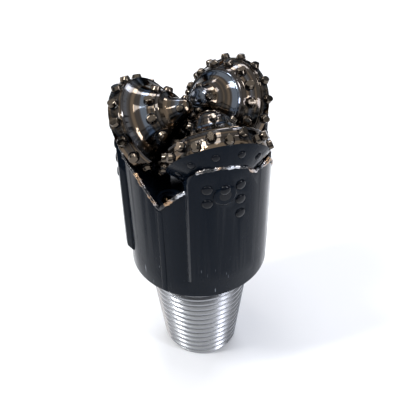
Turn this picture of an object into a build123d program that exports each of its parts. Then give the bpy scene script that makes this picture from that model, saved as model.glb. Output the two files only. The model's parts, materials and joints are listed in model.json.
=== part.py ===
"""Three-cone roller bit, 3 7/8 in hole size, on a 2 3/8 in regular tapered pin.

The bit stands on its pin, cones up.  Z is the bit axis, z = 0 is the pin's end
face.  Leg, journal, bearing and cone are drawn once in the leg frame, where the
journal axis leans in the XZ direction, and are turned to their three places.
"""
import os
from math import atan2, cos, degrees, hypot, pi, radians, sin, sqrt

from build123d import *

# ---- hole size and connection ------------------------------------------------
gauge_diameter = 98.425
pin_length = 76.2
pin_small_diameter = 47.625
pin_taper = 0.25
pin_end_chamfer = 1.6
mud_bore_radius = 12.7
shoulder_chamfer = 2.0

# ---- body: each drop is measured down from the height of the journal axes --------
axis_height = 195.0
shank_radius = 43.0
crown_radius = 45.0
crown_drop = 9.0
pad_bottom = 91.0
pad_step = 3.4
pad_taper = 1.2
pad_half_width = 24.5
pad_bevel = 2.4
pad_corner_drop = 41.0
pad_corner_width = 10.6
pad_corner_height = 22.0
pad_turn = 7.3
spigot_radius = 27.0
spigot_length = 14.0
spigot_seat = 2.0
plenum_radius = 15.5
plenum_drop = 71.0
dome_drop = 57.0

# ---- journals ----------------------------------------------------------------
first_journal_azimuth = -77.3
journal_angle = 36.0
journal_offset = 5.0
face_turn = 17.3
base_distance = 46.6
base_radius = 21.5
hub_radius = 13.2
hub_length = 4.0
journal_radius = 12.0
journal_end = 23.0
pilot_radius = 6.0
pilot_end = 14.6
race_distance = 26.6
race_radius = 12.2
ball_radius = 2.78
balls_in_race = 12
ball_clearance = 0.1
running_clearance = 0.05
face_clearance = 0.06

# ---- cones -------------------------------------------------------------------
back_gap = 0.6
sleeve_wall = 2.0
sleeve_end = 30.2
pilot_bush_wall = 1.2
thrust_washer_thickness = 1.5
thrust_button_thickness = 1.4
seal_section = 2.8
seal_lip = 0.6
gauge_corner_radius = 29.5
steel_below_gauge = 1.0
button_proud = 0.95

# ---- inserts -----------------------------------------------------------------
insert_radius = 3.1
insert_proud = 2.8
insert_grip = 5.0
inner_grip = 3.2
insert_sides = 8
outer_insert_radius = 2.8
outer_insert_grip = 4.2
nose_insert_radius = 2.3
nose_insert_proud = 2.0
nose_insert_grip = 2.8
gauge_button_radius = 2.3
gauge_button_grip = 2.6
gauge_buttons_per_cone = 10

# ---- jets --------------------------------------------------------------------
jet_circle_radius = 32.5
jet_sleeve_radius = 8.0
jet_sleeve_bottom_drop = 83.0
jet_sleeve_top_drop = 49.0
jet_radius = 6.0
jet_length = 13.0
jet_throat_radius = 2.8
jet_clearance = 0.1
feed_radius = 4.2
feed_drop = 77.0

# ---- lubricant reservoirs ----------------------------------------------------
reservoir_azimuth = -33.0
reservoir_circle_radius = 33.0
reservoir_radius = 4.6
reservoir_bottom_drop = 69.0
reservoir_seat_drop = 52.0
cap_radius = 5.8
cap_thickness = 2.2
cup_wall = 0.8
grease_hole_radius = 1.1

# ---- leg back ----------------------------------------------------------------
plug_radius = 2.82
plug_clearance = 0.03
plug_exit = 58.0
plug_weld_radius = 7.0
plug_weld_crown = 0.8
leg_button_radius = 3.2
leg_button_proud = 1.1
leg_button_grip = 3.0
right_buttons_turn = 10.5
right_buttons_drop = 29.5
right_buttons_pitch = 10.5
left_buttons_turn = -13.5
left_buttons_drop = 28.0
left_buttons_pitch = 10.0

# ---- worked out from the sizes above -------------------------------------------
gauge_radius = gauge_diameter / 2
body_top = axis_height - crown_drop
pad_corner_foot = axis_height - pad_corner_drop
plenum_top = axis_height - plenum_drop
dome_height = axis_height - dome_drop
jet_sleeve_bottom = axis_height - jet_sleeve_bottom_drop
jet_sleeve_top = axis_height - jet_sleeve_top_drop
feed_height = axis_height - feed_drop
reservoir_bottom = axis_height - reservoir_bottom_drop
reservoir_seat = axis_height - reservoir_seat_drop
right_buttons_top = axis_height - right_buttons_drop
left_buttons_top = axis_height - left_buttons_drop
pin_base_radius = pin_small_diameter / 2 + pin_taper / 2 * pin_length
slope = radians(journal_angle)
axis_direction = Vector(cos(slope), 0, -sin(slope))
lift_direction = Vector(sin(slope), 0, cos(slope))
side_direction = Vector(0, 1, 0)
apex = Vector(0, journal_offset, axis_height)
journal_plane = Plane(origin=apex, x_dir=axis_direction, z_dir=(0, -1, 0))
journal_axis = Axis(apex, axis_direction)
journal_azimuths = [first_journal_azimuth + 120 * k for k in range(3)]
cone_back = base_distance - back_gap
wall_reach = sqrt((gauge_radius - steel_below_gauge) ** 2 - journal_offset**2)
gauge_corner = ((wall_reach - gauge_corner_radius * sin(slope)) / cos(slope), gauge_corner_radius)
back_corner = (cone_back, (wall_reach - cone_back * cos(slope)) / sin(slope))
sleeve_start = base_distance - hub_length - face_clearance
sleeve_outer = journal_radius + running_clearance + sleeve_wall


def on_journal(distance, radius, spin=0.0):
    """A point by its distance along the journal, its radius and its spin angle."""
    turn = radians(spin)
    outward = lift_direction * cos(turn) + side_direction * sin(turn)
    return apex + axis_direction * distance + outward * radius


def seat_plane(start, end, share, spin):
    """Plane on a straight stretch of a cone's outline, its normal pointing out of the steel."""
    run, rise = end[0] - start[0], end[1] - start[1]
    length = hypot(run, rise)
    if run > 0:
        run, rise = -run, -rise
    turn = radians(spin)
    outward = lift_direction * cos(turn) + side_direction * sin(turn)
    across = side_direction * cos(turn) - lift_direction * sin(turn)
    normal = axis_direction * (rise / length) - outward * (run / length)
    distance = start[0] + (end[0] - start[0]) * share
    radius = start[1] + (end[1] - start[1]) * share
    return Plane(origin=on_journal(distance, radius, spin), x_dir=across, z_dir=normal)


def radial_plane(azimuth):
    """Vertical plane through the bit axis, X pointing outwards."""
    turn = radians(azimuth)
    return Plane(origin=(0, 0, 0), x_dir=(cos(turn), sin(turn), 0), z_dir=(sin(turn), -cos(turn), 0))


def turned(points, arc=360, plane=journal_plane, axis=journal_axis):
    """Solid of revolution of a closed outline."""
    with BuildPart() as solid:
        with BuildSketch(plane):
            with BuildLine():
                Polyline(*points, close=True)
            make_face()
        revolve(axis=axis, revolution_arc=arc)
    return solid.part


def ring(inner, outer, low, high):
    """Ring about the journal axis between two distances from the apex."""
    return turned([(low, inner), (high, inner), (high, outer), (low, outer)])


def finish(part, name):
    """Label one piece and write its file."""
    part.label = name
    os.makedirs("parts", exist_ok=True)
    export_step(part, f"parts/{name}.step")


# ---- inserts: an eight-sided shank, its top cut to a chisel or a blunt dome -------
def insert(radius, proud, grip, crest, sides=insert_sides):
    """Carbide insert; crest gives the width and length of its top as shares of the shank."""
    shoulder = 0.3 * proud
    with BuildPart() as piece:
        with BuildSketch(Plane.XY.offset(-grip)):
            RegularPolygon(radius, sides, rotation=180 / sides)
        extrude(amount=grip + proud)
        for plane, share in zip((Plane.XZ, Plane.YZ), crest):
            with BuildSketch(plane):
                with BuildLine():
                    Polyline(
                        (-radius, -grip), (radius, -grip), (radius, shoulder), (share * radius, proud),
                        (-share * radius, proud), (-radius, shoulder), close=True,
                    )
                make_face()
            extrude(amount=radius, both=True, mode=Mode.INTERSECT)
    return piece.part


chisel_insert = insert(insert_radius, insert_proud, insert_grip, (0.30, 0.62))
short_insert = insert(insert_radius, insert_proud, inner_grip, (0.30, 0.62))
outer_insert = insert(outer_insert_radius, insert_proud, outer_insert_grip, (0.30, 0.62))
nose_insert = insert(nose_insert_radius, nose_insert_proud, nose_insert_grip, (0.40, 0.60))
gauge_button = insert(gauge_button_radius, button_proud, gauge_button_grip, (0.55, 0.55))
leg_button = insert(leg_button_radius, leg_button_proud, leg_button_grip, (0.55, 0.55))

# ---- cone outlines, from the mouth round the gauge corner to the nose ------------
land_1 = ((22.4, 18.7), (14.5, 13.4))
heel_1 = (29.0, 27.6)
nose_1 = ((12.6, 9.0), (3.4, 4.5))
outline_1 = [gauge_corner, heel_1, (27.4, 23.6), (26.0, 21.4), (23.4, 19.4), *land_1,
             (13.7, 10.2), *nose_1, (2.4, 3.2), (1.8, 0)]

land_2 = ((32.8, 27.2), (23.6, 20.0))
heel_2 = (33.8, 28.2)
nose_2 = ((14.0, 9.0), (8.0, 6.4))
outline_2 = [gauge_corner, heel_2, (33.5, 27.2), *land_2, (23.2, 19.0), (22.3, 18.5), (21.8, 17.4),
             (19.6, 15.0), (17.4, 12.6),
             (15.0, 10.4), *nose_2, (6.6, 4.4), (6.2, 0)]

heel_3 = (28.6, 27.9)
nose_3 = ((21.0, 15.6), (13.6, 10.6))
outline_3 = [gauge_corner, heel_3, (27.6, 25.8), (26.9, 25.4), (25.2, 21.4), (22.4, 17.4),
             *nose_3, (10.8, 7.6), (10.2, 4.0), (10.0, 0)]

# each row: outline stretch, place along it, number of inserts, first spin, insert
gauge_stretch = (gauge_corner, back_corner, 0.52)
cone_designs = {
    1: {
        "azimuth": journal_azimuths[2], "outline": outline_1, "button_spin": 10.0,
        "outer": (gauge_corner, heel_1, 0.43, 16, 4.0, chisel_insert),
        "inner": (*land_1, 0.48, 9, 20.0, short_insert),
        "nose": (*nose_1, 0.76, 3, 60.0, nose_insert),
    },
    2: {
        "azimuth": journal_azimuths[1], "outline": outline_2, "button_spin": 15.0,
        "outer": (gauge_corner, heel_2, 0.44, 16, 9.0, outer_insert),
        "inner": (*land_2, 0.53, 14, 12.0, chisel_insert),
        "nose": (*nose_2, 0.80, 4, 30.0, nose_insert),
    },
    3: {
        "azimuth": journal_azimuths[0], "outline": outline_3, "button_spin": 23.0,
        "outer": (gauge_corner, heel_3, 0.28, 10, 5.0, outer_insert),
        "inner": (gauge_corner, heel_3, 0.65, 10, 23.0, outer_insert),
        "nose": (*nose_3, 0.56, 5, 0.0, nose_insert),
    },
}


def row_of_inserts(start, end, share, count, first_spin, piece):
    """One row of inserts, standing in the leg frame."""
    with BuildPart() as row:
        for k in range(count):
            with Locations(seat_plane(start, end, share, first_spin + 360 / count * k)):
                add(piece)
    return row.part


# ---- cone shell: forged and turned steel with drilled insert holes ---------------
mouth_lip = cone_back - seal_lip
seal_gland = mouth_lip - seal_section - 2 * face_clearance
seal_outer = hub_radius + seal_section + 2 * running_clearance
groove_radius = ball_radius + ball_clearance
washer_outer = journal_radius - 0.1
washer_low = journal_end - face_clearance - thrust_washer_thickness
bush_outer = pilot_radius + running_clearance + pilot_bush_wall
button_high = pilot_end - face_clearance
button_low = button_high - thrust_button_thickness

cone_hollow = [
    (cone_back + 1, 0), (cone_back + 1, hub_radius + 0.4), (mouth_lip, hub_radius + 0.4),
    (mouth_lip, seal_outer), (seal_gland, seal_outer), (seal_gland, sleeve_outer),
    (sleeve_end, sleeve_outer), (sleeve_end, journal_radius + 0.15),
    (washer_low, journal_radius + 0.15), (washer_low, bush_outer), (button_low, bush_outer), (button_low, 0),
]
ball_groove = turned([
    (race_distance + groove_radius * cos(pi * k / 8), race_radius + groove_radius * sin(pi * k / 8))
    for k in range(16)
])


cone_chamber = turned(cone_hollow)


def cone_shell(outline, rows):
    """Cone body with its bearing chamber, ball race and drilled insert holes."""
    with BuildPart() as shell:
        with BuildSketch(journal_plane):
            with BuildLine():
                Polyline((cone_back, 0), back_corner, *outline, close=True)
            make_face()
        revolve(axis=journal_axis)
        add(cone_chamber, mode=Mode.SUBTRACT)
        add(ball_groove, mode=Mode.SUBTRACT)
        for row in rows:
            add(row, mode=Mode.SUBTRACT)
    return shell.part


# ---- bearing pieces, alike in the three cones ------------------------------------
bearing_sleeve = ring(journal_radius + running_clearance, sleeve_outer, sleeve_end, sleeve_start)
pilot_bush = ring(pilot_radius + running_clearance, bush_outer, pilot_end, washer_low)
thrust_washer = ring(bush_outer + 0.1, washer_outer, washer_low, washer_low + thrust_washer_thickness)
thrust_button = turned(
    [(button_low, 0), (button_high, 0), (button_high, bush_outer), (button_low, bush_outer)])
with BuildPart() as seal_ring:
    with BuildSketch(journal_plane):
        seal_centre = ((mouth_lip + seal_gland) / 2, hub_radius + running_clearance + seal_section / 2)
        with Locations(seal_centre):
            RegularPolygon(seal_section / 2, 8, major_radius=False, rotation=22.5)
    revolve(axis=journal_axis)
ball_facet_radius = 0.88 * ball_radius
with BuildPart() as ball:
    with BuildSketch(Plane.XY.offset(-ball_radius)):
        RegularPolygon(ball_facet_radius, 8)
    extrude(amount=2 * ball_radius)
    for plane in (Plane.XZ, Plane.YZ):
        with BuildSketch(plane):
            RegularPolygon(ball_facet_radius, 8, rotation=22.5)
        extrude(amount=ball_radius, both=True, mode=Mode.INTERSECT)
with BuildPart() as ball_set:
    for k in range(balls_in_race):
        with Locations(on_journal(race_distance, race_radius, 360 / balls_in_race * (k + 0.5))):
            add(ball.part)

# ---- leg: one third of the body with its pad, arm and bearing journal -------------
half_sector = 60.0
sector_start = face_turn - half_sector
pad_azimuth = pad_turn
pad_half_angle = degrees(pad_half_width / (crown_radius + pad_step))
body_outline = [
    (0, pin_length), (shank_radius - shoulder_chamfer, pin_length),
    (shank_radius, pin_length + shoulder_chamfer),
    (shank_radius, pad_bottom), (crown_radius, body_top), (0, body_top),
]
pad_outline = [
    (shank_radius - 6, pad_bottom), (shank_radius, pad_bottom),
    (shank_radius + pad_step, pad_bottom + pad_step),
    (shank_radius + pad_step + pad_taper, body_top), (shank_radius - 6, body_top),
]
jet_azimuths = (sector_start, sector_start + 2 * half_sector)
row_clearance = 1.3
swept_radius = gauge_corner_radius + insert_proud + row_clearance
cone_space = [
    (-6, 0), (-6, swept_radius - 8), (6, swept_radius), (gauge_corner[0] + 1.4, swept_radius),
    (gauge_corner[0] + 2.6, gauge_corner_radius + row_clearance + 1.0), (base_distance, back_corner[1] + 2.4),
    (base_distance, 0),
]
face_plane = Plane(
    origin=(0, 0, 0),
    x_dir=(cos(radians(face_turn)), sin(radians(face_turn)), 0),
    z_dir=(sin(radians(face_turn)), -cos(radians(face_turn)), 0),
)


def face_reach(height):
    """Distance of the leg's sloping inner face from the bit axis at a height."""
    return (base_distance + (height - axis_height) * sin(slope)) / cos(slope)


def vertical_hole(radius, azimuth, circle_radius, low, high):
    turn = radians(azimuth)
    with BuildPart() as hole:
        with Locations((circle_radius * cos(turn), circle_radius * sin(turn), low)):
            Cylinder(radius, high - low, align=(Align.CENTER, Align.CENTER, Align.MIN))
    return hole.part


def rod(start, end, radius):
    """Round bar between two points."""
    start, end = Vector(start), Vector(end)
    with BuildPart() as bar:
        with BuildSketch(Plane(origin=start, z_dir=end - start)):
            Circle(radius)
        extrude(amount=(end - start).length)
    return bar.part


with BuildPart() as inner_face_cut:
    top = body_top + 14
    with BuildSketch(face_plane):
        with BuildLine():
            Polyline(
                (-70, dome_height), (face_reach(dome_height), dome_height), (face_reach(top), top),
                (-70, top), close=True,
            )
        make_face()
    extrude(amount=90, both=True)
    add(ring(0.0, base_radius, base_distance, base_distance + 24), mode=Mode.SUBTRACT)

journal_outline = [
    (base_distance + 1, 0), (base_distance + 1, hub_radius), (base_distance - hub_length, hub_radius),
    (base_distance - hub_length, journal_radius), (journal_end, journal_radius), (journal_end, pilot_radius),
    (pilot_end + 0.8, pilot_radius), (pilot_end, pilot_radius - 0.8), (pilot_end, 0),
]
plug_inner = on_journal(race_distance, race_radius, 180)
plug_outer = on_journal(plug_exit, -0.7, 180)
plug_beyond = plug_outer + (plug_outer - plug_inner).normalized() * 12
plug_hole = rod(plug_inner, plug_beyond, plug_radius + plug_clearance)
plug_bar = rod(plug_inner, plug_beyond, plug_radius)

pad_face_plane = Plane(
    origin=(0, 0, 0),
    x_dir=(-sin(radians(face_turn)), cos(radians(face_turn)), 0),
    z_dir=(cos(radians(face_turn)), sin(radians(face_turn)), 0),
)
corner_edge = (shank_radius + pad_step) * sin(radians(pad_azimuth + pad_half_angle - face_turn))
with BuildPart() as pad:
    with BuildSketch(radial_plane(pad_azimuth - pad_half_angle)):
        with BuildLine():
            Polyline(*pad_outline, close=True)
        make_face()
    revolve(axis=Axis.Z, revolution_arc=2 * pad_half_angle)
    straight_edges = pad.edges().filter_by(GeomType.LINE)
    side_edges = [
        edge for edge in straight_edges
        if edge.length > 50 and hypot(edge.center().X, edge.center().Y) > shank_radius + pad_step - 0.5
    ]
    chamfer(side_edges, length=pad_bevel)
    with BuildSketch(pad_face_plane):
        with BuildLine():
            Polyline(
                (corner_edge, pad_corner_foot),
                (corner_edge - pad_corner_width, pad_corner_foot + pad_corner_height),
                (corner_edge - pad_corner_width, body_top + 1), (corner_edge + 20, body_top + 1),
                (corner_edge + 20, pad_corner_foot), close=True,
            )
        make_face()
    extrude(amount=2 * gauge_radius, mode=Mode.SUBTRACT)

upwards = (Align.CENTER, Align.CENTER, Align.MIN)
with BuildPart() as leg_blank:
    with BuildSketch(radial_plane(sector_start)):
        with BuildLine():
            Polyline(*body_outline, close=True)
        make_face()
    revolve(axis=Axis.Z, revolution_arc=2 * half_sector)
    add(pad.part)
    add(inner_face_cut.part, mode=Mode.SUBTRACT)
    for turn in (0, 120, 240):
        add(turned(cone_space), rotation=(0, 0, turn), mode=Mode.SUBTRACT)
    with Locations((0, 0, pin_length)):
        Cylinder(spigot_radius, spigot_length, align=upwards, mode=Mode.SUBTRACT)
        Cylinder(pin_base_radius, spigot_seat, align=upwards, mode=Mode.SUBTRACT)
    with Locations((0, 0, pin_length)):
        Cylinder(plenum_radius, plenum_top - pin_length, align=upwards, mode=Mode.SUBTRACT)
    for azimuth in jet_azimuths:
        sleeve_hole = vertical_hole(
            jet_sleeve_radius, azimuth, jet_circle_radius, jet_sleeve_bottom, body_top)
        add(sleeve_hole, mode=Mode.SUBTRACT)
        turn = radians(azimuth)
        jet_foot = (jet_circle_radius * cos(turn), jet_circle_radius * sin(turn), feed_height)
        add(rod((0, 0, feed_height), jet_foot, feed_radius), mode=Mode.SUBTRACT)
    add(turned(journal_outline))
    add(ball_groove, mode=Mode.SUBTRACT)


# ---- leg back: ball plug with its weld, wear buttons, reservoir --------------------
reservoir_turn = face_turn + reservoir_azimuth
reservoir_x = reservoir_circle_radius * cos(radians(reservoir_turn))
reservoir_y = reservoir_circle_radius * sin(radians(reservoir_turn))
reservoir_hole = vertical_hole(
    reservoir_radius, reservoir_turn, reservoir_circle_radius, reservoir_bottom, body_top)
reservoir_mouth = vertical_hole(
    cap_radius, reservoir_turn, reservoir_circle_radius, reservoir_seat, body_top)
grease_hole = rod(
    (reservoir_x, reservoir_y, (reservoir_bottom + reservoir_seat) / 2),
    plug_inner + (plug_outer - plug_inner) * 0.72, grease_hole_radius)


def pad_point(turn, height):
    """Point on the pad's outer face, by angle from the pad centre and height."""
    foot_height = pad_bottom + pad_step
    reach = shank_radius + pad_step + pad_taper * (height - foot_height) / (body_top - foot_height)
    angle = radians(pad_azimuth + turn)
    return Vector(reach * cos(angle), reach * sin(angle), height)


right_buttons = [(right_buttons_turn, right_buttons_top - right_buttons_pitch * k) for k in range(3)]
left_buttons = [(left_buttons_turn, left_buttons_top - left_buttons_pitch * k) for k in range(2)]
with BuildPart() as button_set:
    for turn, height in right_buttons + left_buttons:
        foot = pad_point(turn, height)
        with Locations(Plane(origin=foot, z_dir=(foot.X, foot.Y, 0))):
            add(leg_button)

weld_plane = Plane(origin=pad_point(degrees(atan2(plug_outer.Y, plug_outer.X)) - pad_azimuth, plug_outer.Z),
                   z_dir=(plug_outer.X, plug_outer.Y, 0))
with BuildPart() as weld_cap:
    with BuildSketch(weld_plane.offset(-1.5)):
        RegularPolygon(plug_weld_radius, 16)
    extrude(amount=1.5 + 0.3 * plug_weld_crown)
    with BuildSketch(weld_plane.offset(0.3 * plug_weld_crown)):
        RegularPolygon(plug_weld_radius, 16)
    extrude(amount=0.7 * plug_weld_crown, taper=62)
weld_over_plug = weld_cap.part - leg_blank.part

with BuildPart() as ball_plug:
    add(leg_blank.part)
    add(plug_bar, mode=Mode.INTERSECT)

with BuildPart() as leg:
    add(leg_blank.part)
    add(plug_hole, mode=Mode.SUBTRACT)
    add(weld_over_plug)
    add(reservoir_hole, mode=Mode.SUBTRACT)
    add(reservoir_mouth, mode=Mode.SUBTRACT)
    add(grease_hole, mode=Mode.SUBTRACT)
    add(button_set.part, mode=Mode.SUBTRACT)
plug_without_duct = ball_plug.part - grease_hole

# ---- reservoir pieces: rubber cup, steel cap ----------------------------------------
with BuildPart() as reservoir_cup:
    with Locations((reservoir_x, reservoir_y, reservoir_bottom + 1)):
        Cylinder(reservoir_radius - 0.1, reservoir_seat - reservoir_bottom - 1.1,
                 align=(Align.CENTER, Align.CENTER, Align.MIN))
    with Locations((reservoir_x, reservoir_y, reservoir_bottom)):
        Cylinder(reservoir_radius - 0.1 - cup_wall, reservoir_seat - reservoir_bottom - 2.1,
                 align=(Align.CENTER, Align.CENTER, Align.MIN), mode=Mode.SUBTRACT)
with BuildPart() as reservoir_cap:
    with Locations((reservoir_x, reservoir_y, reservoir_seat)):
        Cylinder(cap_radius - 0.05, cap_thickness, align=(Align.CENTER, Align.CENTER, Align.MIN))

# ---- pin: tapered connection with a spigot that the legs are welded round -------------
spigot_end = pin_length + spigot_length
with BuildPart() as pin:
    with BuildSketch(Plane.XZ):
        with BuildLine():
            Polyline(
                (mud_bore_radius, 0), (pin_small_diameter / 2 - pin_end_chamfer, 0),
                (pin_small_diameter / 2 + pin_taper / 2 * pin_end_chamfer, pin_end_chamfer),
                (pin_base_radius, pin_length), (pin_base_radius, pin_length + spigot_seat),
                (spigot_radius, pin_length + spigot_seat), (spigot_radius, spigot_end),
                (mud_bore_radius, spigot_end), close=True,
            )
        make_face()
    revolve(axis=Axis.Z)
finish(pin.part, "pin")

# ---- jets: steel sleeve with a side feed, carbide nozzle, seal ring, snap ring ---------
nozzle_top = jet_sleeve_top - 2.2
nozzle_bottom = nozzle_top - jet_length
seal_height = nozzle_bottom + 0.55 * jet_length
ring_section = 0.9


def upright(points, azimuth):
    """Solid of revolution about a jet's own upright axis."""
    turn = radians(azimuth)
    x, y = jet_circle_radius * cos(turn), jet_circle_radius * sin(turn)
    plane = Plane(origin=(x, y, 0), x_dir=(1, 0, 0), z_dir=(0, -1, 0))
    return turned(points, plane=plane, axis=Axis((x, y, 0), (0, 0, 1)))


jet_hole = jet_radius + jet_clearance
jet_start = face_turn + half_sector + journal_azimuths[2]
jet_sleeves, nozzles, nozzle_seals, nozzle_rings = [], [], [], []
for k in range(3):
    azimuth = jet_start + 120 * k
    body = upright(
        [(feed_radius, jet_sleeve_bottom + 2), (0, jet_sleeve_bottom + 2), (0, jet_sleeve_bottom),
         (jet_sleeve_radius, jet_sleeve_bottom), (jet_sleeve_radius, jet_sleeve_top),
         (jet_hole, jet_sleeve_top), (jet_hole, nozzle_top + 1.2),
         (jet_hole + ring_section, nozzle_top + 1.2),
         (jet_hole + ring_section, nozzle_top), (jet_hole, nozzle_top),
         (jet_hole, seal_height + ring_section), (jet_hole + ring_section, seal_height + ring_section),
         (jet_hole + ring_section, seal_height - ring_section), (jet_hole, seal_height - ring_section),
         (jet_hole, nozzle_bottom), (feed_radius, nozzle_bottom)], azimuth)
    turn = radians(azimuth)
    foot = (jet_circle_radius * cos(turn), jet_circle_radius * sin(turn), feed_height)
    jet_sleeves.append(body - rod((0, 0, feed_height), foot, feed_radius))
    nozzles.append(upright(
        [(feed_radius - 0.3, nozzle_bottom), (jet_radius, nozzle_bottom), (jet_radius, nozzle_top),
         (jet_throat_radius + 1.2, nozzle_top), (jet_throat_radius, nozzle_top - 2.5),
         (jet_throat_radius, nozzle_bottom + 4)], azimuth))
    nozzle_seals.append(upright(
        [(jet_hole - 0.1, seal_height - ring_section + 0.1),
         (jet_hole + ring_section - 0.1, seal_height - ring_section + 0.1),
         (jet_hole + ring_section - 0.1, seal_height + ring_section - 0.1),
         (jet_hole - 0.1, seal_height + ring_section - 0.1)], azimuth))
    nozzle_rings.append(upright(
        [(jet_hole - 1.3, nozzle_top), (jet_hole + ring_section - 0.1, nozzle_top),
         (jet_hole + ring_section - 0.1, nozzle_top + 1.1), (jet_hole - 1.3, nozzle_top + 1.1)], azimuth))
for k in range(3):
    finish(jet_sleeves[k], f"jet_sleeve_{k + 1}")
    finish(nozzles[k], f"nozzle_{k + 1}")
finish(Compound(children=nozzle_seals), "nozzle_seals")
finish(Compound(children=nozzle_rings), "nozzle_snap_rings")

# ---- three legs and three cones set round the bit ---------------------------------------
cups, caps = [], []
for number, design in cone_designs.items():
    azimuth = design["azimuth"]
    outer_row = row_of_inserts(*design["outer"])
    inner_row = row_of_inserts(*design["inner"])
    nose_row = row_of_inserts(*design["nose"])
    if number == 3:
        with BuildPart() as nose_set:
            add(nose_row)
            with Locations(Plane(origin=on_journal(outline_3[-1][0], 0), z_dir=-axis_direction)):
                add(nose_insert)
        nose_row = nose_set.part
    buttons = row_of_inserts(*gauge_stretch, gauge_buttons_per_cone, design["button_spin"], gauge_button)
    cone = cone_shell(design["outline"], (outer_row, inner_row, nose_row, buttons))
    pieces = {
        "leg": leg.part, "ball_plug": plug_without_duct, "leg_buttons": button_set.part,
        "cone": cone, "outer_inserts": outer_row, "inner_inserts": inner_row,
        "nose_inserts": nose_row, "gauge_buttons": buttons, "bearing_sleeve": bearing_sleeve,
        "pilot_bushing": pilot_bush, "thrust_washer": thrust_washer, "thrust_button": thrust_button,
        "cone_seal": seal_ring.part, "bearing_balls": ball_set.part,
    }
    for name, piece in pieces.items():
        finish(piece.rotate(Axis.Z, azimuth), f"{name}_{number}")
    cups.append(reservoir_cup.part.rotate(Axis.Z, azimuth))
    caps.append(reservoir_cap.part.rotate(Axis.Z, azimuth))
finish(Compound(children=cups), "reservoir_cups")
finish(Compound(children=caps), "reservoir_caps")
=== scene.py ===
"""Roller cone drill bit standing on its pin, dressed over the CAD frame."""
import json
import math
import random

import bmesh
import bpy
from mathutils import Matrix, Vector


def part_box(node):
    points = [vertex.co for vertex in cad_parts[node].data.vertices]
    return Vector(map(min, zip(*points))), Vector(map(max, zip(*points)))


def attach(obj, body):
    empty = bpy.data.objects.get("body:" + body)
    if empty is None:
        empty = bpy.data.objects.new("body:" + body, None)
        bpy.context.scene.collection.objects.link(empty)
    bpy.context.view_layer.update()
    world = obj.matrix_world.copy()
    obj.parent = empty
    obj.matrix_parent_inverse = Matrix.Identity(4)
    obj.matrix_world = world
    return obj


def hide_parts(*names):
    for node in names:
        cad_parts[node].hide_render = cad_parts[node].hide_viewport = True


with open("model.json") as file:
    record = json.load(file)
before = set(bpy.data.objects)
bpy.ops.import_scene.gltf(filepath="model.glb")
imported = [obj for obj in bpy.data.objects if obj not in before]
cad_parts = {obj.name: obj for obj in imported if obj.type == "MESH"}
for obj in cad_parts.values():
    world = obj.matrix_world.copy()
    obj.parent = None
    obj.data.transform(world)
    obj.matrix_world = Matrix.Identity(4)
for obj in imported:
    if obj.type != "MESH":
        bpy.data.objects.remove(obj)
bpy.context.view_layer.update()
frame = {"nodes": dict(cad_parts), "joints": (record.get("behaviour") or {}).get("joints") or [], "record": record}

# ---- Studio -------------------------------------------------------------------
# The bit stands on its pin on a white sweep of paper, under five soft boxes: key,
# fill, back, side and top. They give black enamel and polished steel bright edges.
MM = 0.001


def linear(hex_colour):
    """sRGB hex value as a linear RGBA colour."""
    parts = [int(hex_colour[i:i + 2], 16) / 255 for i in (1, 3, 5)]
    return [p / 12.92 if p <= 0.04045 else ((p + 0.055) / 1.055) ** 2.4 for p in parts] + [1.0]


def node(tree, kind, settings=None, inputs=None):
    """Adds one node; settings are its attributes, inputs are values or sockets to link."""
    made = tree.nodes.new(kind)
    for name, value in (settings or {}).items():
        setattr(made, name, value)
    for name, value in (inputs or {}).items():
        usable = [s for s in made.inputs if s.enabled and s.name == name]
        socket = usable[0] if usable else made.inputs[name]
        if isinstance(value, bpy.types.NodeSocket):
            tree.links.new(value, socket)
        else:
            socket.default_value = value
    return made


def new_tree(name):
    """A material with an empty node tree."""
    material = bpy.data.materials.new(name)
    material.use_nodes = True
    material.node_tree.nodes.clear()
    return material, material.node_tree


def noise(tree, place, scale, detail=2.0):
    """Noise laid over coordinates, as a value."""
    made = node(tree, "ShaderNodeTexNoise", None, {"Vector": place, "Scale": scale, "Detail": detail})
    return made.outputs["Fac"]


def stretched(tree, place, scale, turn=(0, 0, 0)):
    """Coordinates turned and scaled, for a pattern that is longer one way."""
    made = node(tree, "ShaderNodeMapping", None, {"Vector": place, "Rotation": turn, "Scale": scale})
    return made.outputs[0]


def ranged(tree, value, start=0.0, stop=1.0, low=0.0, high=1.0):
    """Carries a value from between start and stop over to between low and high."""
    return node(tree, "ShaderNodeMapRange", None, {"Value": value, "From Min": start, "From Max": stop,
                                                   "To Min": low, "To Max": high}).outputs[0]


def ramp(tree, value, *stops):
    """Colour looked up in a row of stops, each a place and a hex colour."""
    made = node(tree, "ShaderNodeValToRGB", None, {"Fac": value})
    row = made.color_ramp.elements
    for end, (place, colour) in ((row[0], stops[0]), (row[1], stops[-1])):
        end.position = place
        end.color = linear(colour)
    for place, colour in stops[1:-1]:
        row.new(place).color = linear(colour)
    return made.outputs["Color"]


def surface(tree, inputs):
    """Principled surface joined to the material's output."""
    made = node(tree, "ShaderNodeBsdfPrincipled", None, inputs)
    node(tree, "ShaderNodeOutputMaterial", None, {"Surface": made.outputs[0]})


def even_finish(name, colour, roughness, inputs):
    """Material with one colour and one roughness all over."""
    material, tree = new_tree(name)
    surface(tree, {"Base Color": linear(colour), "Roughness": roughness, **inputs})
    return material


def piece(name, bm, material, body=None, smooth_angle=35):
    """Turns a bmesh into an object at the origin, smooth up to an angle, riding a body."""
    mesh = bpy.data.meshes.new(name)
    limit = math.radians(smooth_angle)
    for face in bm.faces:
        face.smooth = True
    for edge in bm.edges:
        edge.smooth = len(edge.link_faces) == 2 and edge.calc_face_angle(0) < limit
    bm.to_mesh(mesh)
    bm.free()
    thing = bpy.data.objects.new(name, mesh)
    bpy.context.collection.objects.link(thing)
    mesh.materials.append(material)
    if body:
        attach(thing, body)
    return thing


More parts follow.
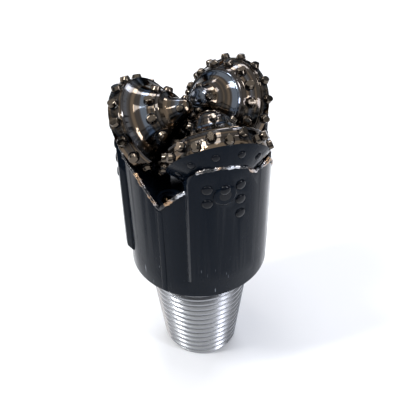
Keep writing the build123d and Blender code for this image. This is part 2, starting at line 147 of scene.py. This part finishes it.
scene = bpy.context.scene
scene.view_settings.view_transform = "Standard"
world = bpy.data.worlds.new("white studio")
scene.world = world
world.use_nodes = True
world.node_tree.nodes.clear()
sky_tree = world.node_tree
path = node(sky_tree, "ShaderNodeLightPath")
backdrop = node(sky_tree, "ShaderNodeMath", {"operation": "MAXIMUM", "use_clamp": True},
                {0: path.outputs["Is Camera Ray"], 1: path.outputs["Is Transmission Ray"]})
direction = node(sky_tree, "ShaderNodeTexCoord").outputs["Generated"]
split = node(sky_tree, "ShaderNodeSeparateXYZ", None, {0: direction})
level = node(sky_tree, "ShaderNodeMath", {"operation": "MULTIPLY_ADD"},
             {0: noise(sky_tree, direction, 2.2), 1: 0.8, 2: split.outputs["Z"]})
# Polished steel sees the room too: brown near the floor, and pale blue windows between dark walls.
room = ramp(sky_tree, level.outputs[0], (0.30, "#7a583c"), (0.42, "#0b0c10"), (0.60, "#12151b"),
            (0.68, "#b4cbe8"), (0.76, "#1a1614"), (0.86, "#e3ebf7"), (0.93, "#2a241f"), (1.0, "#ffffff"))
dim = node(sky_tree, "ShaderNodeBackground", None, {"Color": linear("#ffffff"), "Strength": 0.42})
reflected = node(sky_tree, "ShaderNodeBackground", None, {"Color": room, "Strength": 1.0})
white = node(sky_tree, "ShaderNodeBackground", None, {"Color": linear("#ffffff"), "Strength": 1.0})
lit = node(sky_tree, "ShaderNodeMixShader", None,
           {0: path.outputs["Is Glossy Ray"], 1: dim.outputs[0], 2: reflected.outputs[0]})
sky = node(sky_tree, "ShaderNodeMixShader", None,
           {0: backdrop.outputs[0], 1: lit.outputs[0], 2: white.outputs[0]})
node(sky_tree, "ShaderNodeOutputWorld", None, {"Surface": sky.outputs[0]})

paper, tree = new_tree("white paper sweep")
sheet_surface = node(tree, "ShaderNodeBsdfDiffuse", None, {"Color": linear("#f0f1f3")})
node(tree, "ShaderNodeOutputMaterial", None, {"Surface": sheet_surface.outputs[0]})
bm = bmesh.new()
bmesh.ops.create_grid(bm, x_segments=1, y_segments=1, size=6.0)
floor = piece("paper_floor", bm, paper)


def soft_box(name, place, target, width, height, watts, colour):
    """Rectangular area lamp aimed at a point."""
    lamp = bpy.data.lights.new(name, "AREA")
    lamp.shape = "RECTANGLE"
    lamp.size = width
    lamp.size_y = height
    lamp.energy = watts
    lamp.color = linear(colour)[:3]
    thing = bpy.data.objects.new(name, lamp)
    thing.location = place
    thing.rotation_euler = (Vector(target) - Vector(place)).to_track_quat("-Z", "Y").to_euler()
    bpy.context.collection.objects.link(thing)


bit_middle = (0.0, 0.0, 0.11)
soft_box("key soft box", (-0.55, -0.20, 0.98), bit_middle, 0.15, 0.40, 7.0, "#ffffff")
soft_box("fill soft box", (0.70, -0.50, 0.60), bit_middle, 0.16, 0.60, 4.2, "#f1f4ff")
soft_box("back soft box", (0.20, 0.75, 0.80), bit_middle, 0.80, 0.18, 5.4, "#f3f6ff")
soft_box("side soft box", (-0.95, 0.37, 0.30), bit_middle, 0.40, 0.55, 1.6, "#fff3e6")
soft_box("top soft box", (-0.05, 0.05, 1.20), bit_middle, 0.30, 0.30, 2.8, "#ffffff")

camera = bpy.data.objects.new("camera", bpy.data.cameras.new("camera"))
camera.data.sensor_width = 36.0
camera.data.lens = 81.0
camera.data.clip_start = 0.01
LOOKING_DOWN = 41.03
CAMERA_ROLL = -1.2
camera_place = Matrix.Translation((0.00128, -0.4205, 0.4853))
tilt = Matrix.Rotation(math.radians(90 - LOOKING_DOWN), 4, "X")
roll = Matrix.Rotation(math.radians(CAMERA_ROLL), 4, "Z")
camera.matrix_world = camera_place @ tilt @ roll
bpy.context.collection.objects.link(camera)
scene.camera = camera

# ---- Pin ------------------------------------------------------------------------
# The tapered pin is turned from alloy steel and threaded right-handed, five
# threads to the inch with a quarter taper, then left bare and bright.
pin_low, pin_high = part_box("pin")
PITCH = 25.4 * MM / 5
TAPER = 0.125
THREAD_DEPTH = 1.9 * MM
CREST = 1.5 * MM
ROOT = 1.0 * MM
TURN_STEPS = 96
SPIGOT_RADIUS = 27.0 * MM
bore_radius = frame["record"]["mounts"][0]["dims"]["r_mm"] * MM
shoulder_height = frame["record"]["mounts"][1]["pos_m"][2]
end_radius = (pin_high[0] - pin_low[0]) / 2 - TAPER * shoulder_height
root_radius = end_radius - THREAD_DEPTH
thread_start = 1.7 * MM
thread_stop = shoulder_height - 3.2 * MM

bright_steel, tree = new_tree("bright turned steel")
# Turned steel shows fine rings round the pin, so the roughness runs in bands along Z.
coords = node(tree, "ShaderNodeTexCoord").outputs["Object"]
rings = noise(tree, stretched(tree, coords, (30, 30, 4000)), 1.0)
surface(tree, {"Base Color": linear("#989a9e"), "Metallic": 1.0,
               "Roughness": ranged(tree, rings, low=0.16, high=0.34)})

bm = bmesh.new()
flank = (PITCH - CREST - ROOT) / 2
corners = []
for k in range(-2, int(shoulder_height / PITCH) + 3):
    z = k * PITCH
    corners += [(root_radius, z), (end_radius, z + flank), (end_radius, z + flank + CREST),
                (root_radius, z + 2 * flank + CREST)]
profile = [bm.verts.new((radius, 0, z)) for radius, z in corners]
for a, b in zip(profile, profile[1:]):
    bm.edges.new((a, b))
bmesh.ops.spin(bm, geom=bm.verts[:] + bm.edges[:], axis=(0, 0, 1), cent=(0, 0, 0),
               dvec=(0, 0, -PITCH / TURN_STEPS), angle=-math.tau, steps=TURN_STEPS, use_merge=False)
bmesh.ops.remove_doubles(bm, verts=bm.verts, dist=1e-6)
for vert in bm.verts:
    radius = math.hypot(vert.co.x, vert.co.y)
    wanted = radius + TAPER * max(vert.co.z, 0)
    vert.co.x *= wanted / radius
    vert.co.y *= wanted / radius
for height, normal in ((thread_start, -1), (thread_stop, 1)):
    bmesh.ops.bisect_plane(bm, geom=bm.verts[:] + bm.edges[:] + bm.faces[:], plane_co=(0, 0, height),
                           plane_no=(0, 0, normal), clear_outer=True)


def ring_edges(bm, height):
    """Open edges that lie at a height."""
    return [e for e in bm.edges
            if len(e.link_faces) == 1 and all(abs(v.co.z - height) < 1e-6 for v in e.verts)]


def next_ring(bm, edges, radius, height):
    """Draws a new ring out of an open one, round and level, and returns its edges."""
    made = bmesh.ops.extrude_edge_only(bm, edges=edges)["geom"]
    for vert in (g for g in made if isinstance(g, bmesh.types.BMVert)):
        turn = math.atan2(vert.co.y, vert.co.x)
        vert.co = (radius * math.cos(turn), radius * math.sin(turn), height)
    return [g for g in made if isinstance(g, bmesh.types.BMEdge)]


def radius_at(height):
    """Crest radius of the tapered pin at a height."""
    return end_radius + TAPER * height


low_ring = ring_edges(bm, thread_start)
high_ring = ring_edges(bm, thread_stop)
for radius, height in ((root_radius, thread_start), (root_radius - 0.6 * MM, 0.3 * MM),
                       (root_radius - 0.9 * MM, 0.0), (bore_radius + 0.8 * MM, 0.0), (bore_radius, 0.8 * MM)):
    low_ring = next_ring(bm, low_ring, radius, height)
for radius, height in ((radius_at(thread_stop) - THREAD_DEPTH, thread_stop),
                       (radius_at(shoulder_height) - THREAD_DEPTH, shoulder_height - 2.0 * MM),
                       (radius_at(shoulder_height), shoulder_height),
                       (SPIGOT_RADIUS, shoulder_height), (SPIGOT_RADIUS, pin_high[2]),
                       (bore_radius, pin_high[2])):
    high_ring = next_ring(bm, high_ring, radius, height)
bmesh.ops.bridge_loops(bm, edges=low_ring + high_ring)
bmesh.ops.recalc_face_normals(bm, faces=bm.faces)
threaded_pin = piece("threaded_pin", bm, bright_steel, "body", 30)
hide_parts("pin")

# ---- Legs -------------------------------------------------------------------------
# Three forged alloy steel legs are machined, welded edge to edge and sprayed with
# a thick black enamel, which rounds every edge and shows a slight orange peel.
black_enamel, tree = new_tree("sprayed black enamel")
coords = node(tree, "ShaderNodeTexCoord").outputs["Object"]
peel_height = node(tree, "ShaderNodeMath", {"operation": "MULTIPLY_ADD"},
                   {0: noise(tree, coords, 60.0, 1.0), 1: 2.5, 2: noise(tree, coords, 420.0)})
bumps = node(tree, "ShaderNodeBump", None,
             {"Height": peel_height.outputs[0], "Strength": 0.10, "Distance": 0.0004})
# Handling has wiped the paint in upright smears and scratched it near the lower rim.
smear = noise(tree, stretched(tree, coords, (130, 130, 16)), 1.0, 3.0)
scratch = noise(tree, stretched(tree, coords, (900, 900, 110), (0.5, 0.3, 0.2)), 1.0, 1.0)
height_of = node(tree, "ShaderNodeSeparateXYZ", None, {0: coords})
low_down = ranged(tree, height_of.outputs["Z"], 0.118, 0.092)
scuffs = node(tree, "ShaderNodeMath", {"operation": "MULTIPLY"},
              {0: ranged(tree, scratch, 0.74, 0.78), 1: low_down})
paint_colour = node(tree, "ShaderNodeMix", {"data_type": "RGBA"},
                    {"Factor": scuffs.outputs[0], "A": linear("#0c131c"), "B": linear("#7d838b")})
surface(tree, {"Base Color": next(s for s in paint_colour.outputs if s.enabled),
               "Roughness": ranged(tree, smear, 0.35, 0.7, 0.10, 0.32),
               "IOR": 1.45, "Specular IOR Level": 0.085, "Normal": bumps.outputs[0]})


def merged(node_name, flat_angle=0.6):
    """Copy of a CAD node as a bmesh, its triangles joined and flat areas made whole."""
    bm = bmesh.new()
    bm.from_mesh(frame["nodes"][node_name].data)
    bmesh.ops.remove_doubles(bm, verts=bm.verts, dist=2e-6)
    bmesh.ops.dissolve_limit(bm, angle_limit=math.radians(flat_angle), verts=bm.verts, edges=bm.edges)
    return bm


def soften(bm, width, angle=24, skin=0.0):
    """Rounds sharp outer edges, and inner corners that lie beyond a distance from the bit's axis."""
    limit = math.radians(angle)
    sharp = [e for e in bm.edges if len(e.link_faces) == 2 and e.calc_face_angle(0) > limit
             and (e.calc_face_angle_signed(0) > 0 or e.verts[0].co.to_2d().length > skin)]
    bmesh.ops.bevel(bm, geom=sharp, offset=width, offset_type="OFFSET", segments=2, profile=0.5,
                    affect="EDGES", clamp_overlap=True, material=-1)


for k in (1, 2, 3):
    bm = merged(f"leg_{k}")
    soften(bm, 1.0 * MM, skin=40 * MM)
    leg = piece(f"painted_leg_{k}", bm, black_enamel, "body", 28)
    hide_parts(f"leg_{k}")

# ---- Cones --------------------------------------------------------------------------
# Each cone is forged, turned and carburised; its grooves and lands are polished to
# a dark mirror by the lathe, and its back face is sprayed with the same enamel.
cone_steel, tree = new_tree("polished carburised steel")
coords = node(tree, "ShaderNodeTexCoord").outputs["Object"]
# Bands of brown and blue-grey in the base colour, read along the axis in millimetres: partly the steel's own
# brownish tone, partly painted reflection of a warm room and of pale blue highlights.
turn_line = node(tree, "ShaderNodeAttribute", {"attribute_type": "GEOMETRY", "attribute_name": "turn_line"})
rings = node(tree, "ShaderNodeTexNoise", {"noise_dimensions": "1D"},
             {"W": turn_line.outputs["Fac"], "Scale": 0.20, "Detail": 2.5, "Roughness": 0.45})
tone_and_reflection_bands = ramp(tree, rings.outputs["Fac"], (0.36, "#66594b"), (0.47, "#3d3833"), (0.58, "#494645"),
            (0.68, "#5e656f"))
surface(tree, {"Base Color": tone_and_reflection_bands, "Metallic": 1.0,
               "Roughness": ranged(tree, noise(tree, coords, 90.0, 3.0), low=0.05, high=0.13)})

RIDGE_RADIUS = 0.42 * MM
RIDGE_SUNK = 0.26 * MM
GAUGE_START = 8.0 * MM
CORNER_ANGLE = 14
LEVEL_WITHIN = 0.02 * MM
SMALLEST_CORNER = 5 * MM


def cone_axis(k):
    """Pivot and outward direction of a cone's spin."""
    joint = next(j for j in frame["joints"] if j["name"] == f"cone_{k}_spin")
    return Vector(joint["pos_m"]), Vector(joint["axis"])


def along_axis(point, pivot, out):
    """How far a point lies along a cone's axis, and its distance from that axis."""
    height = (point - pivot).dot(out)
    return height, (point - pivot - out * height).length


def turned_corners(bm, pivot, out):
    """Height and radius of each convex circle that the lathe left on a cone's outside."""
    found = set()
    for edge in bm.edges:
        if len(edge.link_faces) != 2 or edge.calc_face_angle_signed(0) < math.radians(CORNER_ANGLE):
            continue
        ends = [along_axis(v.co, pivot, out) for v in edge.verts]
        middle = (edge.verts[0].co + edge.verts[1].co) / 2
        height, radius = ends[0]
        away = (middle - pivot - out * height).normalized()
        level = all(abs(a - b) < LEVEL_WITHIN for a, b in zip(*ends))
        outside = all(face.normal.dot(away) > 0.05 for face in edge.link_faces)
        if level and outside and height < GAUGE_START and radius > SMALLEST_CORNER:
            found.add((round(height / MM), height, radius))
    kept = {}
    for key, height, radius in sorted(found):
        kept.setdefault(key, (height, radius))
    return list(kept.values())


def ridge(bm, pivot, out, height, radius):
    """Thin round ridge laid on a turned corner."""
    across = out.orthogonal().normalized()
    centre = pivot + out * height + across * (radius - RIDGE_SUNK)
    made = bmesh.ops.create_circle(bm, segments=8, radius=RIDGE_RADIUS)["verts"]
    lay = Matrix((across, out, across.cross(out))).transposed().to_4x4()
    bmesh.ops.transform(bm, matrix=Matrix.Translation(centre) @ lay, verts=made)
    edges = list({e for v in made for e in v.link_edges})
    bmesh.ops.spin(bm, geom=made + edges, cent=pivot, axis=out, angle=math.tau, steps=96, use_merge=True)


for k in (1, 2, 3):
    pivot, out = cone_axis(k)
    bm = merged(f"cone_{k}")
    corners = turned_corners(bm, pivot, out)
    soften(bm, 0.22 * MM, 20)
    ridges = bmesh.new()
    for height, radius in corners:
        ridge(ridges, pivot, out, height, radius)
    bmesh.ops.recalc_face_normals(ridges, faces=ridges.faces)
    ridge_mesh = bpy.data.meshes.new(f"ridges_{k}")
    ridges.to_mesh(ridge_mesh)
    ridges.free()
    bm.from_mesh(ridge_mesh)
    cone = piece(f"turned_cone_{k}", bm, cone_steel, f"cone_{k}_assembly", 28)
    cone.data.materials.append(black_enamel)
    turn_line = cone.data.attributes.new("turn_line", "FLOAT", "POINT")
    turn_line.data.foreach_set("value", [vert.co.dot(out) / MM for vert in cone.data.vertices])
    # The back face, behind the gauge, is painted.
    for face in cone.data.polygons:
        if face.normal.dot(out) > 0.5 and along_axis(face.center, pivot, out)[0] > GAUGE_START:
            face.material_index = 1
    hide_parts(f"cone_{k}")

# ---- Inserts --------------------------------------------------------------------------
# Tungsten carbide inserts are sintered, tumbled smooth and pressed into reamed
# holes: round shanks with a rounded chisel that lies along the cone's slope.
carbide = even_finish("tumbled tungsten carbide", "#5a5249", 0.12, {"Metallic": 1.0})
# Enamel flows off small domes and dries there smooth and wet looking.
stud_enamel = even_finish("glossy black enamel", "#090d14", 0.05, {"IOR": 1.5, "Specular IOR Level": 0.17})
SIDES = 24
LIP_OUT = 1.12
LIP_PROUD = 0.14 * MM
LIP_SUNK = 0.5 * MM
SHANK_EASE = 0.985


def islands(bm):
    """The vertices of each separate solid in a bmesh."""
    left = set(bm.verts)
    while left:
        start = left.pop()
        found, waiting = {start}, [start]
        while waiting:
            vert = waiting.pop()
            for other in (e.other_vert(vert) for e in vert.link_edges):
                if other in left:
                    left.discard(other)
                    found.add(other)
                    waiting.append(other)
        yield found


def seats(node_name):
    """Place, direction, crest direction, shank radius and height of each insert in a row."""
    bm = merged(node_name, 1.0)
    for verts in islands(bm):
        faces = {f for v in verts for f in v.link_faces}
        foot = max((f for f in faces if len(f.verts) >= 8), key=lambda f: f.calc_area())
        up = -foot.normal
        centre = foot.calc_center_median()
        heights = [(v.co - centre).dot(up) for v in verts]
        tall = max(heights)
        top = [v.co for v, h in zip(verts, heights) if tall - h < 2e-5]
        spread = [(a - b, (a - b).length) for a in top for b in top]
        long_side = max(spread, key=lambda s: s[1])[0]
        near = sorted((b - top[0] for b in top[1:]), key=lambda v: v.length)
        crest = near[1] if len(near) > 2 else long_side
        crest = (crest - up * crest.dot(up)).normalized()
        radius = max((v.co - centre).length for v in foot.verts)
        yield centre, up, crest, radius, tall
    bm.free()


def round_insert(bm, centre, up, crest, radius, tall, proud, shape):
    """Round shank whose top is drawn in, ring by ring, to a chisel or a dome."""
    made = bmesh.ops.create_circle(bm, cap_ends=True, segments=SIDES, radius=radius)["verts"]
    faces = list({f for v in made for f in v.link_faces})
    bmesh.ops.reverse_faces(bm, faces=faces)
    ring = list({e for v in made for e in v.link_edges})
    all_verts = list(made)
    last = (1.0, 1.0)
    seat = tall - proud
    if shape is DOME:
        lip = ((seat, 1.0, 1.0),)
    else:
        lip = ((seat - LIP_SUNK, 1.0, 1.0), (seat - LIP_SUNK, LIP_OUT, LIP_OUT),
               (seat + LIP_PROUD * 0.6, LIP_OUT, LIP_OUT), (seat + LIP_PROUD, LIP_OUT - 0.05, LIP_OUT - 0.05),
               (seat + LIP_PROUD, 1.0, 1.0))
    for level, thick, wide in (*lip, *[(seat + proud * h, t, w) for h, t, w in shape]):
        geom = bmesh.ops.extrude_edge_only(bm, edges=ring)["geom"]
        # Faces at and below the seat lip take the second slot, glossy black enamel. This is painted shade: a dark
        # ring in place of the shade in the groove round each insert's seat.
        for face in (g for g in geom if isinstance(g, bmesh.types.BMFace)):
            face.material_index = 1 if level <= seat + LIP_PROUD else 0
        verts = [g for g in geom if isinstance(g, bmesh.types.BMVert)]
        ring = [g for g in geom if isinstance(g, bmesh.types.BMEdge)]
        for vert in verts:
            vert.co = (vert.co.x * thick / last[0], vert.co.y * wide / last[1], level)
        last = (thick, wide)
        all_verts += verts
    for face in bmesh.ops.contextual_create(bm, geom=ring)["faces"]:
        face.material_index = 0
    across = crest.cross(up)
    turn = Matrix((across, crest, up)).transposed().to_4x4()
    bmesh.ops.transform(bm, matrix=Matrix.Translation(centre) @ turn, verts=all_verts)


# Rings of a tip: share of the height that stands proud, then shares of the shank's thickness and width.
CHISEL = ((0.42, 1.0, 1.0), (0.50, 0.95, 0.98), (0.90, 0.66, 0.94), (0.97, 0.62, 0.90), (1.0, 0.54, 0.84))
DOME = ((0.20, 0.99, 0.99), (0.45, 0.93, 0.93), (0.68, 0.80, 0.80), (0.86, 0.58, 0.58),
        (0.96, 0.32, 0.32), (1.0, 0.06, 0.06))
PROUD = {"outer_inserts": 2.8 * MM, "inner_inserts": 2.8 * MM, "nose_inserts": 2.0 * MM,
         "gauge_buttons": 0.95 * MM, "leg_buttons": 1.1 * MM}
for k in (1, 2, 3):
    for row, proud in PROUD.items():
        bm = bmesh.new()
        form = DOME if "buttons" in row else CHISEL
        for centre, up, crest, radius, tall in seats(f"{row}_{k}"):
            round_insert(bm, centre, up, crest, radius * SHANK_EASE, tall, proud, form)
        bmesh.ops.recalc_face_normals(bm, faces=bm.faces)
        on_leg = row == "leg_buttons"
        body = "body" if on_leg else f"cone_{k}_assembly"
        finish_of = stud_enamel if "buttons" in row else carbide
        made = piece(f"round_{row}_{k}", bm, finish_of, body, 40 if form is DOME else 20)
        # The second slot paints the seat lips of the inserts black, as painted shade round each seat.
        made.data.materials.append(stud_enamel)
        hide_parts(f"{row}_{k}")

# ---- Hardfacing --------------------------------------------------------------------
# The upper edges of each leg are hardfaced: crushed carbide in a nickel weld rod is
# run along the edge by torch, and leaves a lumpy bead that the paint barely covers.
hardfacing, tree = new_tree("torch laid hardfacing")
coords = node(tree, "ShaderNodeTexCoord").outputs["Object"]
worn = ranged(tree, noise(tree, coords, 110.0), 0.47, 0.55)
grain = node(tree, "ShaderNodeBump", None,
             {"Height": noise(tree, coords, 700.0, 4.0), "Strength": 0.5, "Distance": 0.0006})
heat_tint = ramp(tree, noise(tree, coords, 70.0), (0.42, "#a98c70"), (0.56, "#c3c6cc"))
bead_metal = node(tree, "ShaderNodeBsdfPrincipled", None,
                  {"Base Color": heat_tint, "Metallic": 1.0, "Roughness": 0.22, "Normal": grain.outputs[0]})
bead_paint = node(tree, "ShaderNodeBsdfPrincipled", None,
                  {"Base Color": linear("#121418"), "Roughness": 0.2, "IOR": 1.45,
                   "Normal": grain.outputs[0]})
bead_mix = node(tree, "ShaderNodeMixShader", None,
                {0: worn, 1: bead_paint.outputs[0], 2: bead_metal.outputs[0]})
node(tree, "ShaderNodeOutputMaterial", None, {"Surface": bead_mix.outputs[0]})
random.seed(7)
BEAD_STEP = 0.8 * MM
BEAD_RADIUS = 1.45 * MM
BEAD_CLEARANCE = 0.35 * MM
BEAD_SMALLEST = 0.7 * MM
BEAD_LAID_IN = 0.5 * MM
# The bead follows edges near the rim and above the dome, where an outer face meets one that slopes in.
EDGE_ANGLE = 25
RIM_REACH = 0.0425
DOME_FLOOR = 0.138
LOOKS_OUT = 0.8
LOOKS_IN = -0.25
LOOKS_UP = 0.3


def sweep_of(node_name, pivot, out):
    """Circles, as height and radius on a cone's axis, that a row of studs runs through."""
    return {tuple(round(value, 4) for value in along_axis(v.co, pivot, out))
            for v in frame["nodes"][node_name].data.vertices}


for k in (1, 2, 3):
    leg = merged(f"leg_{k}")
    path_points = []
    for edge in leg.edges:
        if len(edge.link_faces) != 2 or edge.calc_face_angle(0) < math.radians(EDGE_ANGLE):
            continue
        middle = (edge.verts[0].co + edge.verts[1].co) / 2
        radial = Vector((middle.x, middle.y, 0))
        if radial.length < RIM_REACH or middle.z < DOME_FLOOR:
            continue
        radial.normalize()
        facing = sorted(face.normal.dot(radial) for face in edge.link_faces)
        rising = max(face.normal.z for face in edge.link_faces)
        if facing[1] < LOOKS_OUT or facing[0] > LOOKS_IN or rising < LOOKS_UP:
            continue
        count = max(1, round(edge.calc_length() / BEAD_STEP))
        path_points += [edge.verts[0].co.lerp(edge.verts[1].co, (i + 0.5) / count) for i in range(count)]
    leg.free()
    pivot, out = cone_axis(k)
    swept = sweep_of(f"gauge_buttons_{k}", pivot, out)
    bm = bmesh.new()
    for point in path_points:
        inward = Vector((-point.x, -point.y, 0)).normalized() * BEAD_LAID_IN
        jitter = Vector([random.uniform(-0.25, 0.25) * MM for _ in range(3)])
        size = BEAD_RADIUS * random.uniform(0.75, 1.15)
        middle = point + inward + jitter
        height, radius = along_axis(middle, pivot, out)
        room_left = min(math.hypot(height - h, radius - r) for h, r in swept) - BEAD_CLEARANCE
        if room_left > BEAD_SMALLEST:
            bmesh.ops.create_icosphere(bm, subdivisions=1, radius=min(size, room_left),
                                       matrix=Matrix.Translation(middle))
    bead = piece(f"hardfacing_bead_{k}", bm, hardfacing, "body", 60)
    remesh = bead.modifiers.new("fused", "REMESH")
    remesh.mode = "VOXEL"
    remesh.voxel_size = 0.45 * MM
    remesh.use_smooth_shade = True

# ---- Leg weld seams ------------------------------------------------------------------
# The three legs meet along upright grooves that are filled by submerged arc weld,
# ground nearly flush and painted, so that only a soft low ridge is left.
SEAM_WIDTH = 3.6 * MM
SEAM_PROUD = 0.3 * MM
SEAM_LOW_REACH = 0.0430
SEAM_HIGH_REACH = 0.0441
SEAM_TOP = 0.1445
weld_low = Vector((SEAM_LOW_REACH, 0, shoulder_height + 2.6 * MM))
weld_high = Vector((SEAM_HIGH_REACH, 0, SEAM_TOP))
for k in (1, 2, 3):
    bm = bmesh.new()
    run = weld_high - weld_low
    bmesh.ops.create_cone(bm, cap_ends=True, segments=24, radius1=1.0, radius2=1.0, depth=run.length)
    bmesh.ops.scale(bm, vec=(SEAM_PROUD, SEAM_WIDTH / 2, 1), verts=bm.verts)
    lean = Matrix.Rotation(math.atan2(run.x, run.z), 4, "Y")
    between_legs = Matrix.Rotation(math.radians(120 * k), 4, "Z")
    place = between_legs @ Matrix.Translation((weld_low + weld_high) / 2) @ lean
    bmesh.ops.transform(bm, matrix=place, verts=bm.verts)
    piece(f"leg_weld_seam_{k}", bm, black_enamel, "body", 50)

# ---- Ball plug welds -------------------------------------------------------------------
# The plug that holds the locking balls in is closed on the leg's back by a low round
# weld with a mound where the last pass ended, and painted over with the leg.
WELD_RADIUS = 6.6 * MM
WELD_CROWN = 1.0 * MM
MOUND_RADIUS = 3.4 * MM
MOUND_CROWN = 1.9 * MM
MOUND_RISE = 3.6 * MM
PLUG_END_DEPTH = 0.8 * MM
for k in (1, 2, 3):
    spots = [v.co for v in frame["nodes"][f"ball_plug_{k}"].data.vertices]
    reach = max(math.hypot(co.x, co.y) for co in spots)
    ends = [co for co in spots if math.hypot(co.x, co.y) > reach - PLUG_END_DEPTH]
    centre = sum(ends, Vector()) / len(ends)
    facing = Vector((centre.x, centre.y, 0)).normalized().to_track_quat("Z", "Y").to_matrix().to_4x4()
    bm = bmesh.new()
    for radius, crown, rise in ((WELD_RADIUS, WELD_CROWN, 0.0), (MOUND_RADIUS, MOUND_CROWN, MOUND_RISE)):
        made = bmesh.ops.create_uvsphere(bm, u_segments=32, v_segments=24, radius=1.0)["verts"]
        bmesh.ops.scale(bm, vec=(radius, radius, crown), verts=made)
        bmesh.ops.transform(bm, matrix=Matrix.Translation(centre + Vector((0, 0, rise))) @ facing, verts=made)
    piece(f"plug_weld_{k}", bm, stud_enamel, "body", 60)

# ---- Jets ----------------------------------------------------------------------------
# Each jet sleeve is a turned steel tube welded in the body and painted over with it;
# the sintered carbide nozzle sits on a rubber ring and is held by a blued snap ring.
# Filled black rubber is matt, with a faint grey sheen from the mould.
rubber = even_finish("moulded nitrile rubber", "#1c1c1d", 0.62, {"IOR": 1.52})
# Tempering leaves a thin oxide film that looks deep blue.
blued = even_finish("blued spring steel", "#3a4660", 0.28, {"Metallic": 1.0})


def dress(node_name, material):
    """Gives a CAD node that is seen little its own finish."""
    mesh = frame["nodes"][node_name].data
    mesh.materials.clear()
    mesh.materials.append(material)


dress("nozzle_seals", rubber)
dress("nozzle_snap_rings", blued)
for k in (1, 2, 3):
    dress(f"jet_sleeve_{k}", black_enamel)
    dress(f"nozzle_{k}", carbide)

# ---- Bearings --------------------------------------------------------------------------
# Inside each cone run a bronze sleeve, a pilot bushing and a thrust washer, locked by
# hardened balls behind a plug and kept clean by a rubber ring in the cone's mouth.
# Bored bronze is warm yellow with a fine satin cut.
bronze = even_finish("cast bearing bronze", "#b98a4a", 0.3, {"Metallic": 1.0})
# Ground and lapped steel is close to a mirror.
bearing_steel = even_finish("ground bearing steel", "#b9bbbe", 0.1, {"Metallic": 1.0})
BEARING_FINISHES = {"bearing_sleeve": bronze, "pilot_bushing": bronze, "thrust_washer": bronze,
                    "thrust_button": bearing_steel, "bearing_balls": bearing_steel,
                    "ball_plug": bearing_steel, "cone_seal": rubber}
for k in (1, 2, 3):
    for part, finish in BEARING_FINISHES.items():
        dress(f"{part}_{k}", finish)

# ---- Grease reservoirs ------------------------------------------------------------------
# A drawn steel cup in each leg holds the bearing grease behind a screwed cap, which
# is painted over with the leg.
dress("reservoir_cups", bearing_steel)
dress("reservoir_caps", black_enamel)
